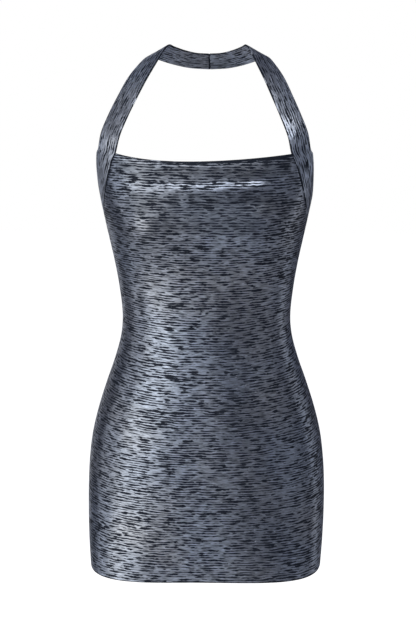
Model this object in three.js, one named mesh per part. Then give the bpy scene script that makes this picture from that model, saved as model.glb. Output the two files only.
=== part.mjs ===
// A halter-neck bodycon mini dress of thin stretch cloth, filled out as when it is worn.
// Millimetres, +Z up. The front faces -Y, and +X is the wearer's left.
// It is drawn with z = 0 at the hem, then lowered so that the origin is where the neck holds it.
import * as THREE from "three";

// Driving dimensions
const PANEL_CLOTH = 1.6;
const BAND_CLOTH = 2.0;
const BAND_WIDTH = 32;
const BAND_CROWN = 1.2;
const SEAM_GAP = 0.3;
const NECKLINE_SCOOP = 8;
const NECKLINE_LEAN = 0.4;

// Shares of the way round one side: 0 is the centre front, 1 the side seam and 2 the centre back.
const CORNER = 0.575;
const SIDE = 1;
const CENTRE_BACK = 2;

// The form inside the cloth, ring by ring: z is the height above the hem, half the half width,
// front and back the reach before and behind the side line, and the squares how boxy each half is.
const RINGS = [
  { z: 0, half: 163, front: 116, back: 106, squareFront: 3.8, squareBack: 2.8 },
  { z: 35, half: 165.5, front: 114, back: 110, squareFront: 3.4, squareBack: 2.7 },
  { z: 72, half: 167, front: 111, back: 116, squareFront: 2.9, squareBack: 2.5 },
  { z: 110, half: 167, front: 109, back: 121, squareFront: 2.6, squareBack: 2.4 },
  { z: 146, half: 165, front: 109, back: 123, squareFront: 2.5, squareBack: 2.4 },
  { z: 182, half: 160.3, front: 109, back: 119, squareFront: 2.45, squareBack: 2.35 },
  { z: 218, half: 151.5, front: 107.5, back: 108, squareFront: 2.4, squareBack: 2.3 },
  { z: 254, half: 140, front: 103, back: 94, squareFront: 2.35, squareBack: 2.3 },
  { z: 289, half: 127.8, front: 96, back: 80, squareFront: 2.3, squareBack: 2.25 },
  { z: 322, half: 119, front: 89.5, back: 71, squareFront: 2.3, squareBack: 2.25 },
  { z: 352, half: 116.8, front: 87, back: 69, squareFront: 2.3, squareBack: 2.25 },
  { z: 392, half: 120.8, front: 91, back: 76, squareFront: 2.35, squareBack: 2.3 },
  { z: 427, half: 126.6, front: 99, back: 84, squareFront: 2.4, squareBack: 2.35 },
  { z: 460, half: 133.5, front: 110, back: 91, squareFront: 2.4, squareBack: 2.4 },
  { z: 490, half: 139.8, front: 117, back: 96, squareFront: 2.4, squareBack: 2.4 },
  { z: 522, half: 146, front: 116, back: 99, squareFront: 2.4, squareBack: 2.4 },
  { z: 552, half: 149.5, front: 111, back: 100, squareFront: 2.4, squareBack: 2.4 },
  { z: 582, half: 151.5, front: 105, back: 99, squareFront: 2.45, squareBack: 2.4 },
  { z: 612, half: 153, front: 98, back: 95, squareFront: 2.5, squareBack: 2.3 },
];

// The hem sits a little lower towards the front corner on the wearer's right.
const HEM_LINE = [
  { around: -1, z: 0 },
  { around: -0.8, z: -2 },
  { around: -0.6, z: -4 },
  { around: -0.35, z: -4 },
  { around: 0, z: -2 },
  { around: 0.5, z: -1.5 },
  { around: 1, z: 0 },
  { around: 3, z: 0 },
];

// The fullness of each bust cup in front of those rings.
const CUP = { x: 74, z: 486, push: 12, across: 36, above: 46, below: 34 };

// The seam between the panels and the band: around is the share above, z the height above the hem.
const BAND_SEAM = [
  { around: CORNER, z: 580 },
  { around: 0.6, z: 571.5 },
  { around: 0.63, z: 558.5 },
  { around: 0.67, z: 541 },
  { around: 0.72, z: 523 },
  { around: 0.79, z: 504 },
  { around: 0.88, z: 486 },
  { around: SIDE, z: 469 },
  { around: 1.2, z: 455 },
  { around: 1.45, z: 447 },
  { around: 1.75, z: 444 },
  { around: CENTRE_BACK, z: 443.5 },
];

// The free strap on the wearer's left, from the nape to the neckline's corner. x, y, z is its
// neck-side edge. turn says which way its face looks, in degrees from the front towards the side
// and on to the back, and rise how far up it looks.
const STRAP = [
  { x: 0, y: 70, z: 706, turn: 180, rise: 46 },
  { x: 17, y: 67, z: 707, turn: 163, rise: 48 },
  { x: 33, y: 57, z: 711, turn: 143, rise: 52 },
  { x: 45.5, y: 41, z: 716, turn: 122, rise: 56 },
  { x: 52.5, y: 22, z: 719, turn: 98, rise: 58 },
  { x: 59, y: 8, z: 711, turn: 56, rise: 48 },
  { x: 68, y: -11, z: 694, turn: 37, rise: 38 },
  { x: 78, y: -30, z: 675, turn: 29, rise: 34 },
  { x: 89, y: -50, z: 652, turn: 28, rise: 28 },
  { x: 100.5, y: -66.5, z: 627, turn: 31, rise: 21 },
  { x: 110.5, y: -76, z: 602, turn: 36, rise: 15 },
];

// Soft folds across the front and back: x and z place the middle, half is half the length,
// lift raises both ends, width is how far each side of the line it reaches, and push is outwards.
const FOLDS = [
  { face: "front", x: 6, z: 548, half: 108, lift: 7, width: 7, push: -1.9 },
  { face: "front", x: 0, z: 537, half: 96, lift: 7, width: 9, push: 1.9 },
  { face: "front", x: 72, z: 518, half: 44, lift: 4, width: 7, push: -1.2 },
  { face: "back", x: -6, z: 372, half: 84, lift: 7, width: 11, push: -2.0 },
  { face: "back", x: 8, z: 346, half: 92, lift: 8, width: 12, push: -1.6 },
  { face: "back", x: 0, z: 318, half: 70, lift: 6, width: 12, push: -1.2 },
];

// Mesh steps
const FRONT_MIDDLE_STEPS = 20;
const SEAM_STATIONS = [CORNER, 0.593, 0.613, 0.638, 0.67, 0.71, 0.76, 0.82, 0.905, SIDE];
const BACK_STEPS = 26;
const PANEL_ROWS = 34;
const ROW_CROWDING = 0.5;
const BAND_STRIPS = 4;
const STEPS_PER_STRAP_ROW = 3;
const RING_STEPS = 60;

// A smooth value between a table's rows: a cubic whose slopes come from the neighbouring rows.
function between(rows, key, column, at) {
  let low = 0;
  while (low < rows.length - 2 && rows[low + 1][key] < at) low += 1;
  const span = (i) => rows[i + 1][key] - rows[i][key];
  const slope = (i) => (rows[i + 1][column] - rows[i][column]) / span(i);
  const tangent = (i) => {
    if (i === 0) return slope(0);
    if (i === rows.length - 1) return slope(i - 1);
    return (slope(i - 1) * span(i) + slope(i) * span(i - 1)) / (span(i - 1) + span(i));
  };
  const t = (at - rows[low][key]) / span(low);
  const start = rows[low][column] * (2 * t ** 3 - 3 * t ** 2 + 1);
  const end = rows[low + 1][column] * (3 * t ** 2 - 2 * t ** 3);
  const leave = tangent(low) * span(low) * (t ** 3 - 2 * t ** 2 + t);
  const arrive = tangent(low + 1) * span(low) * (t ** 3 - t ** 2);
  return start + end + leave + arrive;
}

const bell = (distance, width) => Math.exp(-((distance / width) ** 2));

// How far the cups push the cloth forward.
function cupPush(x, z) {
  const reach = z > CUP.z ? CUP.above : CUP.below;
  return CUP.push * bell(Math.abs(x) - CUP.x, CUP.across) * bell(z - CUP.z, reach);
}

// A point of the ring at height z, at an angle from the centre front towards the wearer's left.
function ringPoint(z, angle) {
  const isFront = Math.cos(angle) > 0;
  const half = between(RINGS, "z", "half", z);
  const depth = between(RINGS, "z", isFront ? "front" : "back", z);
  const square = between(RINGS, "z", isFront ? "squareFront" : "squareBack", z);
  const across = Math.abs(Math.sin(angle)) / half;
  const along = Math.abs(Math.cos(angle)) / depth;
  const reach = (across ** square + along ** square) ** (-1 / square);
  const x = reach * Math.sin(angle);
  const y = -reach * Math.cos(angle);
  return new THREE.Vector3(x, isFront ? y - cupPush(x, z) * Math.cos(angle) : y, z);
}

// The lengths along the front or back quarter of a ring, remembered for each height.
const quarters = new Map();
function quarterOf(z, isFront) {
  const key = `${z.toFixed(3)} ${isFront}`;
  if (quarters.has(key)) return quarters.get(key);
  const lengths = [0];
  let last = ringPoint(z, isFront ? 0 : Math.PI / 2);
  for (let i = 1; i <= RING_STEPS; i += 1) {
    const angle = (Math.PI / 2) * (i / RING_STEPS + (isFront ? 0 : 1));
    const next = ringPoint(z, angle);
    lengths.push(lengths[i - 1] + next.distanceTo(last));
    last = next;
  }
  quarters.set(key, lengths);
  return lengths;
}

// The share on the wearer's right is negative, or past the centre back: this is its mirror image.
const mirrorShare = (around) => Math.min(Math.abs(around), 2 * CENTRE_BACK - Math.abs(around));
const isOnFront = (around) => mirrorShare(around) <= SIDE;
const isOnRight = (around) => (Math.abs(around) > CENTRE_BACK ? around > 0 : around < 0);

// The smooth form's point at a share of the way round and a height.
function formPoint(around, z) {
  const share = mirrorShare(around);
  const isFront = isOnFront(around);
  const lengths = quarterOf(z, isFront);
  const wanted = (isFront ? share : share - SIDE) * lengths[RING_STEPS];
  let i = 0;
  while (i < RING_STEPS - 1 && lengths[i + 1] < wanted) i += 1;
  const part = (wanted - lengths[i]) / (lengths[i + 1] - lengths[i]);
  const angle = (Math.PI / 2) * ((i + part) / RING_STEPS + (isFront ? 0 : 1));
  const point = ringPoint(z, angle);
  return isOnRight(around) ? point.multiply(new THREE.Vector3(-1, 1, 1)) : point;
}

// The direction straight out of the form.
function formNormal(around, z) {
  const step = 0.004;
  const rise = 1.5;
  const along = formPoint(around + step, z).sub(formPoint(around - step, z));
  const up = formPoint(around, z + rise).sub(formPoint(around, z - rise));
  return along.cross(up).normalize();
}

// How far the folds push the cloth out at a place on the form.
function foldPush(around, z) {
  const face = isOnFront(around) ? "front" : "back";
  const { x } = formPoint(around, z);
  let push = 0;
  for (const fold of FOLDS.filter((f) => f.face === face)) {
    const off = (x - fold.x) / fold.half;
    if (Math.abs(off) < 1) {
      const line = fold.z + fold.lift * off ** 2;
      push += fold.push * (1 - off ** 2) ** 2 * bell(z - line, fold.width);
    }
  }
  return push;
}

// A point of the cloth, that far inside its outer face.
function clothPoint(around, z, inside) {
  const normal = formNormal(around, z);
  return formPoint(around, z).addScaledVector(normal, foldPush(around, z) - inside);
}

const seamHeight = (around) => between(BAND_SEAM, "around", "z", mirrorShare(around));

// The panels' top edge: the scooped neckline between the corners, and the band seam beyond them.
function topHeight(around) {
  if (mirrorShare(around) >= CORNER) return seamHeight(around);
  const across = around / CORNER;
  return seamHeight(CORNER) - NECKLINE_SCOOP * (1 - across ** 2) * (1 - NECKLINE_LEAN * across);
}

// A closed wall between two grids of points with the same rows and columns.
function wallBetween(outer, inner) {
  const rows = outer.length;
  const columns = outer[0].length;
  const positions = [...outer.flat(), ...inner.flat()].flatMap((p) => [p.x, p.y, p.z]);
  const at = (row, column, isInner) => (isInner ? rows * columns : 0) + row * columns + column;
  const index = [];
  const quad = (a, b, c, d) => index.push(a, b, c, a, c, d);
  for (let r = 0; r < rows - 1; r += 1) {
    for (let c = 0; c < columns - 1; c += 1) {
      quad(at(r, c), at(r, c + 1), at(r + 1, c + 1), at(r + 1, c));
      quad(at(r + 1, c, true), at(r + 1, c + 1, true), at(r, c + 1, true), at(r, c, true));
    }
  }
  const rim = [];
  for (let c = 0; c < columns; c += 1) rim.push([0, c]);
  for (let r = 1; r < rows; r += 1) rim.push([r, columns - 1]);
  for (let c = columns - 2; c >= 0; c -= 1) rim.push([rows - 1, c]);
  for (let r = rows - 2; r > 0; r -= 1) rim.push([r, 0]);
  rim.forEach(([r, c], i) => {
    const [nextRow, nextColumn] = rim[(i + 1) % rim.length];
    quad(at(nextRow, nextColumn), at(r, c), at(r, c, true), at(nextRow, nextColumn, true));
  });
  const geometry = new THREE.BufferGeometry();
  geometry.setAttribute("position", new THREE.Float32BufferAttribute(positions, 3));
  geometry.setIndex(index);
  geometry.computeVertexNormals();
  return geometry;
}

// A panel of cloth from the hem to its top edge, over columns placed round the form.
function panel(columns, edges) {
  const grid = (inside) =>
    Array.from({ length: PANEL_ROWS + 1 }, (_, row) =>
      columns.map((around) => {
        const share = row / PANEL_ROWS;
        const rise = share + ROW_CROWDING * share * (1 - share);
        const hem = between(HEM_LINE, "around", "z", around);
        const z = hem + (topHeight(around) - hem) * rise;
        const quarter = quarterOf(z, isOnFront(around))[RING_STEPS];
        const inward = { [edges[0]]: 1, [edges[1]]: -1 }[around] ?? 0;
        const inset = (inward * SEAM_GAP) / 2 / quarter;
        return clothPoint(around + inset, z, inside);
      }),
    );
  return wallBetween(grid(0), grid(PANEL_CLOTH));
}

function frontColumns() {
  const middle = Array.from(
    { length: FRONT_MIDDLE_STEPS - 1 },
    (_, i) => CORNER * ((2 * (i + 1)) / FRONT_MIDDLE_STEPS - 1),
  );
  const right = SEAM_STATIONS.map((around) => -around).reverse();
  return [...right, ...middle, ...SEAM_STATIONS];
}

const backShare = (i) => SIDE + (2 * (CENTRE_BACK - SIDE) * i) / BACK_STEPS;
const backColumns = () => Array.from({ length: BACK_STEPS + 1 }, (_, i) => backShare(i));

// The band's cross-section where it is sewn on: seam edge, middle and free edge.
function sewnSection(around) {
  const z = seamHeight(around);
  const step = 0.01;
  const seamPoint = (share) => formPoint(share, seamHeight(share));
  const { x, y, z: height } = STRAP[STRAP.length - 1];
  const isByStrap = around < CORNER + 2 * step;
  const before = isByStrap ? new THREE.Vector3(x, y, height) : seamPoint(around - step);
  const run = seamPoint(around + step).sub(before);
  const normal = formNormal(around, z);
  const across = normal.clone().cross(run).normalize();
  const quarter = quarterOf(z, isOnFront(around))[RING_STEPS];
  const sideways = formPoint(around + step, z).sub(formPoint(around - step, z)).normalize();
  const place = (reach) => {
    const share = around + (reach * across.dot(sideways)) / quarter;
    const rise = reach * Math.sqrt(Math.max(0, 1 - across.dot(sideways) ** 2));
    return clothPoint(Math.min(share, CENTRE_BACK), z + rise, 0);
  };
  return { points: [SEAM_GAP, BAND_WIDTH / 2, BAND_WIDTH].map(place), normal };
}

// The band's cross-section where it hangs free as a strap.
function strapSections() {
  const corner = sewnSection(CORNER).points[0];
  const line = [...STRAP.map((s) => new THREE.Vector3(s.x, s.y, s.z)), corner];
  return STRAP.map((s, i) => {
    const before = i === 0 ? line[1].clone().multiply(new THREE.Vector3(-1, 1, 1)) : line[i - 1];
    const run = line[i + 1].clone().sub(before).normalize();
    const turn = THREE.MathUtils.degToRad(s.turn);
    const rise = THREE.MathUtils.degToRad(s.rise);
    const faces = new THREE.Vector3(
      Math.sin(turn) * Math.cos(rise),
      -Math.cos(turn) * Math.cos(rise),
      Math.sin(rise),
    );
    const normal = faces.addScaledVector(run, -faces.dot(run)).normalize();
    const across = normal.clone().cross(run).normalize();
    const free = line[i].clone().addScaledVector(across, BAND_WIDTH);
    const middle = line[i].clone().add(free).multiplyScalar(0.5).addScaledVector(normal, BAND_CROWN);
    return { points: [line[i], middle, free], normal };
  });
}

// The sections of the whole band on the wearer's left, nape first.
function bandSections() {
  const backStations = backColumns().filter((around) => around > SIDE && around <= CENTRE_BACK);
  const sewn = [...SEAM_STATIONS, ...backStations].map(sewnSection);
  const free = strapSections();
  const sections = [...free, ...sewn];
  const curves = [0, 1, 2].map((k) => new THREE.CatmullRomCurve3(sections.map((s) => s.points[k])));
  const last = sections.length - 1;
  const stations = [];
  for (let i = 0; i < last; i += 1) {
    const steps = i < free.length ? STEPS_PER_STRAP_ROW : 1;
    for (let k = 0; k < steps; k += 1) stations.push((i + k / steps) / last);
  }
  stations.push(1);
  return stations.map((t) => curves.map((curve) => curve.getPoint(t)));
}

// A point across a section, on the parabola through its three points.
function acrossSection([edge, middle, free], share) {
  const start = edge.clone().multiplyScalar((1 - share) * (1 - 2 * share));
  const centre = middle.clone().multiplyScalar(4 * share * (1 - share));
  return start.add(centre).addScaledVector(free, share * (2 * share - 1));
}

// The halter band on the wearer's left, from the nape seam to the centre back seam.
function leftBand() {
  const sections = bandSections();
  const outer = sections.map((section) =>
    Array.from({ length: BAND_STRIPS + 1 }, (_, i) => acrossSection(section, 1 - i / BAND_STRIPS)),
  );
  const last = outer.length - 1;
  for (const point of [...outer[0], ...outer[last]]) point.x = SEAM_GAP / 2;
  const inner = outer.map((row, r) =>
    row.map((point, c) => {
      const along = outer[Math.min(r + 1, last)][c].clone().sub(outer[Math.max(r - 1, 0)][c]);
      if (r === 0 || r === last) along.set(r === 0 ? 1 : -1, 0, 0);
      const across = row[Math.min(c + 1, BAND_STRIPS)].clone().sub(row[Math.max(c - 1, 0)]);
      return point.clone().addScaledVector(along.cross(across).normalize(), BAND_CLOTH);
    }),
  );
  return wallBetween(outer, inner);
}

// The same geometry on the other side, with its faces turned to point outwards again.
function mirrored(geometry) {
  const copy = geometry.clone().scale(-1, 1, 1);
  const index = copy.getIndex();
  for (let i = 0; i < index.count; i += 3) {
    const second = index.getX(i + 1);
    index.setX(i + 1, index.getX(i + 2));
    index.setX(i + 2, second);
  }
  copy.computeVertexNormals();
  return copy;
}

// Foil-coated knit: a dull blue-grey metal.
const foilKnit = (colour) =>
  new THREE.MeshStandardMaterial({ color: colour, roughness: 0.42, metalness: 0.75 });

function piece(name, geometry, colour) {
  const mesh = new THREE.Mesh(geometry, foilKnit(colour));
  mesh.name = name;
  return mesh;
}

// The middle of the band's neck-side face at the nape, where the wearer's neck carries the dress.
function napePoint() {
  const [section] = bandSections();
  const middle = acrossSection(section, 0.5);
  const facing = section[2].clone().sub(section[0]).cross(new THREE.Vector3(1, 0, 0)).normalize();
  return middle.addScaledVector(facing, BAND_CLOTH);
}

const left = leftBand();
const dress = new THREE.Group();
dress.add(
  piece("front_panel", panel(frontColumns(), [-SIDE, SIDE]), 0x6d7386),
  piece("back_panel", panel(backColumns(), [SIDE, 2 * CENTRE_BACK - SIDE]), 0x6a7083),
  piece("halter_band_left", left, 0x646a7c),
  piece("halter_band_right", mirrored(left), 0x646a7c),
);
dress.position.copy(napePoint().negate());

const part = new THREE.Group();
part.add(dress);

export default part;
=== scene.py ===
"""A halter bodycon mini dress in foil-coated stretch knit, filled out as when it is worn."""

import math

import bpy
import numpy as np
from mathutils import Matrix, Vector


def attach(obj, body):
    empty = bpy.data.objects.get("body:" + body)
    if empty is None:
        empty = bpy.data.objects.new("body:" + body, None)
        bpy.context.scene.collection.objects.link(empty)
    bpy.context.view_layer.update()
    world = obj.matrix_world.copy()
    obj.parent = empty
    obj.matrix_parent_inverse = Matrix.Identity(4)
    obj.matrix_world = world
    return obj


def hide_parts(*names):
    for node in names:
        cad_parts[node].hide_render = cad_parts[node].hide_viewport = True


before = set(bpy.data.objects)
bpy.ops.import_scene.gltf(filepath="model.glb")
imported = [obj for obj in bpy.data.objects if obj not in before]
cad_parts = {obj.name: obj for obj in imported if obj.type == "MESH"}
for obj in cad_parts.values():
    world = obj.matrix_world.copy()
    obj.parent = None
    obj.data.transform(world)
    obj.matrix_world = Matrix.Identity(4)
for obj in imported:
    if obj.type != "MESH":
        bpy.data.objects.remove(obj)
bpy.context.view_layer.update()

# The dress is drawn in millimetres from its hem and moved so that the nape is the origin.
NAPE = np.array([0.0, 80.954, 694.31])
MM = 0.001

# The knit and its edges, in millimetres
KNIT = 1.0
TURNED_EDGE = 2.0
BAND_CLOTH = 2.0
BAND_WIDTH = 32.0
BAND_CROWN = 1.2
SEAM_LAP = 0.35
SEWN_TIGHT = 0.02
HEM_TURNING = 18.0
NECK_TURNING = 9.0
STRIP = 28.0
NECKLINE_SCOOP = 8.0
NECKLINE_LEAN = 0.4

# Shares of the way round one side: 0 centre front, 1 side seam, 2 centre back
CORNER = 0.56
SIDE = 1.0
CENTRE_BACK = 2.0

RINGS = np.array(
    # z, half width, front, back, how square in front, how square behind
    [
        (0, 163, 116, 106, 3.8, 2.8),
        (35, 165.5, 114, 110, 3.4, 2.7),
        (72, 167, 111, 116, 2.9, 2.5),
        (110, 167, 109, 121, 2.6, 2.4),
        (146, 165, 109, 123, 2.5, 2.4),
        (182, 160.3, 109, 119, 2.45, 2.35),
        (218, 151.5, 107.5, 108, 2.4, 2.3),
        (254, 140, 103, 94, 2.35, 2.3),
        (289, 127.8, 96, 80, 2.3, 2.25),
        (322, 119, 89.5, 71, 2.3, 2.25),
        (352, 116.8, 87, 69, 2.3, 2.25),
        (392, 120.8, 91, 76, 2.35, 2.3),
        (427, 126.6, 99, 84, 2.4, 2.35),
        (460, 133.5, 110, 91, 2.4, 2.4),
        (490, 139.8, 118, 96, 2.4, 2.4),
        (522, 146, 116, 99, 2.45, 2.4),
        (552, 149.5, 109.5, 100, 2.6, 2.4),
        (582, 151.5, 104.5, 99, 2.75, 2.4),
        (612, 153, 98.5, 95, 2.8, 2.3),
    ],
    dtype=float,
)
HALF, FRONT, BACK, SQUARE_FRONT, SQUARE_BACK = 1, 2, 3, 4, 5
CUP = {"x": 84.0, "z": 476.0, "push": 12.5, "across": 36.0, "above": 38.0, "below": 34.0}
HEM_LINE = np.array(
    # around, z
    [(-1, 0), (-0.8, -2), (-0.6, -4), (-0.35, -4), (0, -2), (0.5, -1.5), (1, 0), (3, 0)]
)
BAND_SEAM = np.array(
    # around, z
    [
        (CORNER, 580),
        (0.586, 571.5),
        (0.617, 558.5),
        (0.659, 541),
        (0.711, 523),
        (0.784, 504),
        (0.877, 486),
        (SIDE, 469),
        (1.2, 455),
        (1.45, 447),
        (1.75, 444),
        (CENTRE_BACK, 443.5),
    ]
)
STRAP = [
    # x, y, z of the neck-side edge, then which way the face turns and how far up it looks
    (0, 70, 706, 180, 46),
    (17, 67, 707, 163, 48),
    (33, 57, 711, 143, 52),
    (45.5, 41, 716, 122, 56),
    (52.5, 22, 719, 98, 58),
    (59, 8, 711, 56, 48),
    (68, -11, 694, 37, 38),
    (78, -30, 675, 29, 34),
    (89, -50, 652, 28, 28),
    (100.5, -66.5, 627, 29, 22),
    (110.5, -76, 602, 30, 15),
]
# Soft folds and pull lines: face, x, z, half length, lift of both ends, reach and push
FOLDS = [
    ("front", 6, 549, 104, 7, 8, -1.3),
    ("front", 0, 534, 100, 7, 8, 2.1),
    ("front", 66, 537, 62, 4, 8, 2.2),
    ("front", 74, 557, 46, 3, 8, 1.8),
    ("front", 0, 509, 122, 0, 18, -1.6),
    ("front", -86, 494, 46, 0, 16, 3.2),
    ("front", 72, 518, 44, 4, 7, -1.2),
    ("front", -64, 524, 40, 3, 6, 0.5),
    ("front", 20, 560, 70, 5, 6, 0.5),
    ("front", -70, 448, 46, -4, 7, -0.5),
    ("front", 64, 446, 52, -5, 8, -0.7),
    ("front", -58, 396, 40, 5, 6, -0.45),
    ("front", 66, 372, 38, 7, 6, -0.5),
    ("front", -70, 340, 36, 8, 6, -0.5),
    ("front", 30, 330, 60, 5, 8, -0.4),
    ("front", -20, 300, 74, 6, 9, 0.45),
    ("front", 70, 292, 44, 10, 7, -0.5),
    ("front", -86, 214, 50, 11, 11, 0.4),
    ("front", 84, 196, 46, 12, 9, 0.45),
    ("front", 8, 150, 82, 6, 12, -0.4),
    ("front", -60, 92, 60, 8, 10, 0.4),
    ("front", 70, 60, 58, 7, 10, -0.4),
    ("back", -6, 372, 84, 7, 11, -2.0),
    ("back", 8, 346, 92, 8, 12, -1.6),
    ("back", 0, 318, 70, 6, 12, -1.2),
    ("back", -60, 400, 44, 5, 7, -0.6),
    ("back", 58, 412, 50, 4, 7, -0.5),
    ("back", 64, 292, 50, 8, 8, -0.6),
    ("back", -70, 268, 46, 10, 8, 0.5),
    ("back", 20, 208, 80, 7, 12, -0.4),
    ("back", -84, 120, 54, 8, 10, 0.5),
    ("back", 72, 96, 60, 8, 10, -0.5),
    ("back", 0, 58, 90, 6, 12, 0.4),
]
# Ripples of the band: place along it, reach, depth and lean
BAND_RIPPLES = [
    (58, 7, 0.5, 0.2),
    (96, 9, -0.4, -0.3),
    (150, 12, 0.35, 0.3),
    (214, 10, -0.35, -0.4),
    (262, 8, 0.5, 0.5),
    (280, 7, -0.5, 0.6),
    (330, 12, 0.35, 0.5),
]

# How a panel's cloth sinks, swells and rounds at a seam, and how a turned edge rounds
SEAM = {"sink": 0.55, "swell": 0.35, "reach": 2.2, "rounding": KNIT * 0.45}
EDGE_ROUNDING = TURNED_EDGE * 0.5
TURNING_FADE = 1.5
NO_SEAM = 99.0
# The crease under the neckline strip and the ridge over the neckline's turning. Both fade
# over a share of the way round before the corners.
CREASE = {"deep": 0.8, "width": 1.1, "fade": 0.16}
RIDGE = {"high": 0.5, "width": 2.2}
# Beside the neckline's corner the band's free edge stands off the form: how far, over what
# share of the way round, and how steeply across the band
STAND_OFF = {"far": 3.6, "reach": 0.11, "curve": 1.5}
BAND_ROUNDING = BAND_CLOTH * 0.48
BAND_END_ROUNDING = 0.5
BAND_MOST_ROUNDING = BAND_CLOTH * 0.49

# Where the foil is darkened, how much and how wide: foil rubbed off the turned edges, with painted
# # shade under the neckline's roll, in the seam grooves, in the crease and along the band's edges and
# ends
RUB_AND_SHADE = {
    "neck": (0.35, 3.0),
    "neck_to_the_left": 0.3,
    "hem": (0.4, 1.6),
    "seam": (0.7, 1.0),
    "crease": 0.32,
    "band_edge": (0.45, 1.0),
    "band_end": (0.6, 0.9),
}
NECK_RUB_AND_SHADE_AT = 1.5
# Where the foil is rougher and darkened as painted shade: the neckline strip, from its top fade to
# its
# # lower one, and a zone between the cups, from low to high and wider above one height
SHADED_DULL_STRIP = {"top": 4.0, "top_fade": 6.0, "low_fade": 4.0}
SHADE_BETWEEN_CUPS = {
    "low": 470,
    "low_fade": 18,
    "high": 536,
    "high_fade": 9,
    "across": 84,
    "wider": 26,
    "wider_from": 498,
    "wider_over": 14,
    "side_fade": 24,
}

# How finely the cloth is drawn. The first steps from an edge are small.
NEAR_EDGE = np.array([0.0, 0.35, 0.8, 1.5])
NEAR_CLEAR = 1.3
PANEL_ROWS = 184
PANEL_HEIGHT = 540
PANEL_FIRST_STEP = 1.2
PANEL_TOP_CROWDING = 0.5
FRONT_SIDE_COLUMNS = 40
FRONT_MIDDLE_COLUMNS = 104
BACK_COLUMNS = 136
COLUMN_FIRST_STEP = 0.004
BAND_COLUMNS = 17
BAND_FIRST_STEP = 0.8
FRONT_STATIONS = [CORNER, 0.578, 0.6, 0.628, 0.662, 0.705, 0.757, 0.82, 0.905, SIDE]
BACK_STATIONS = 13
STRAP_STEPS, FRONT_STEPS, BACK_STEPS = 14, 6, 5
# Where the back panel and the bands start on the knit's map, in millimetres
BACK_MAP = 1500
BAND_MAP, BAND_MAP_ROW = 700, 2000
# How much lower the knit's rows hang at the middle of a panel than at its sides
DROOP = np.array([(0, 4), (60, 8), (180, 11), (300, 10), (380, 8), (460, 3), (520, 1)])


# The form


def between(table, column, at):
    """A smooth value between a table's rows, with slopes taken from the neighbouring rows."""
    key, value = table[:, 0], table[:, column]
    span = np.diff(key)
    slope = np.diff(value) / span
    tangent = np.empty(len(key))
    tangent[0], tangent[-1] = slope[0], slope[-1]
    weights = span[:-1] + span[1:]
    tangent[1:-1] = (slope[:-1] * span[:-1] + slope[1:] * span[1:]) / weights
    at = np.asarray(at, dtype=float)
    low = np.clip(np.searchsorted(key, at, side="left") - 1, 0, len(key) - 2)
    t = (at - key[low]) / span[low]
    start = value[low] * (2 * t**3 - 3 * t**2 + 1)
    end = value[low + 1] * (3 * t**2 - 2 * t**3)
    leave = tangent[low] * span[low] * (t**3 - 2 * t**2 + t)
    arrive = tangent[low + 1] * span[low] * (t**3 - t**2)
    return start + end + leave + arrive


def bell(distance, width):
    return np.exp(-((distance / width) ** 2))


def ring_point(z, angle):
    """A point of the ring at height z, turned from the centre front to its left side."""
    in_front = np.cos(angle) > 0
    half = between(RINGS, HALF, z)
    depth = np.where(in_front, between(RINGS, FRONT, z), between(RINGS, BACK, z))
    square = np.where(in_front, between(RINGS, SQUARE_FRONT, z), between(RINGS, SQUARE_BACK, z))
    across = np.abs(np.sin(angle)) / half
    along = np.abs(np.cos(angle)) / depth
    reach = (across**square + along**square) ** (-1 / square)
    x = reach * np.sin(angle)
    y = -reach * np.cos(angle)
    reach_z = np.where(z > CUP["z"], CUP["above"], CUP["below"])
    push = CUP["push"] * bell(np.abs(x) - CUP["x"], CUP["across"]) * bell(z - CUP["z"], reach_z)
    y = np.where(in_front, y - push * np.cos(angle), y)
    return np.stack([x, y, z + 0 * x], -1)


RING_STEPS = 60
LOWEST, HIGHEST, TABLE_STEP = -20.0, 640.0, 2.0
TABLE_Z = np.arange(LOWEST, HIGHEST, TABLE_STEP)


def quarter_lengths(first_angle):
    """For each height in TABLE_Z, the length round the ring to each step of a quarter."""
    angles = first_angle + np.linspace(0, math.pi / 2, RING_STEPS + 1)
    points = ring_point(TABLE_Z[:, None] + 0 * angles, angles + 0 * TABLE_Z[:, None])
    steps = np.linalg.norm(np.diff(points, axis=1), axis=2)
    return np.concatenate([np.zeros((len(TABLE_Z), 1)), np.cumsum(steps, 1)], 1)


FRONT_LENGTHS = quarter_lengths(0.0)
BACK_LENGTHS = quarter_lengths(math.pi / 2)


def lengths_at(z, in_front):
    """The ring's lengths at each height, for the front or back quarter."""
    place = np.clip((z - LOWEST) / TABLE_STEP, 0, len(TABLE_Z) - 1.001)
    low = place.astype(int)
    part = (place - low)[:, None]
    front = FRONT_LENGTHS[low] * (1 - part) + FRONT_LENGTHS[low + 1] * part
    back = BACK_LENGTHS[low] * (1 - part) + BACK_LENGTHS[low + 1] * part
    return np.where(in_front[:, None], front, back)


def mirror_share(around):
    return np.minimum(np.abs(around), 2 * CENTRE_BACK - np.abs(around))


def on_front(around):
    return mirror_share(around) <= SIDE


def on_right(around):
    return np.where(np.abs(around) > CENTRE_BACK, around > 0, around < 0)


def quarter_of(around, z):
    """How long the quarter of the ring is, for points at those shares and heights."""
    return lengths_at(np.ravel(z), np.ravel(on_front(around)))[:, -1].reshape(np.shape(z))


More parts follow.
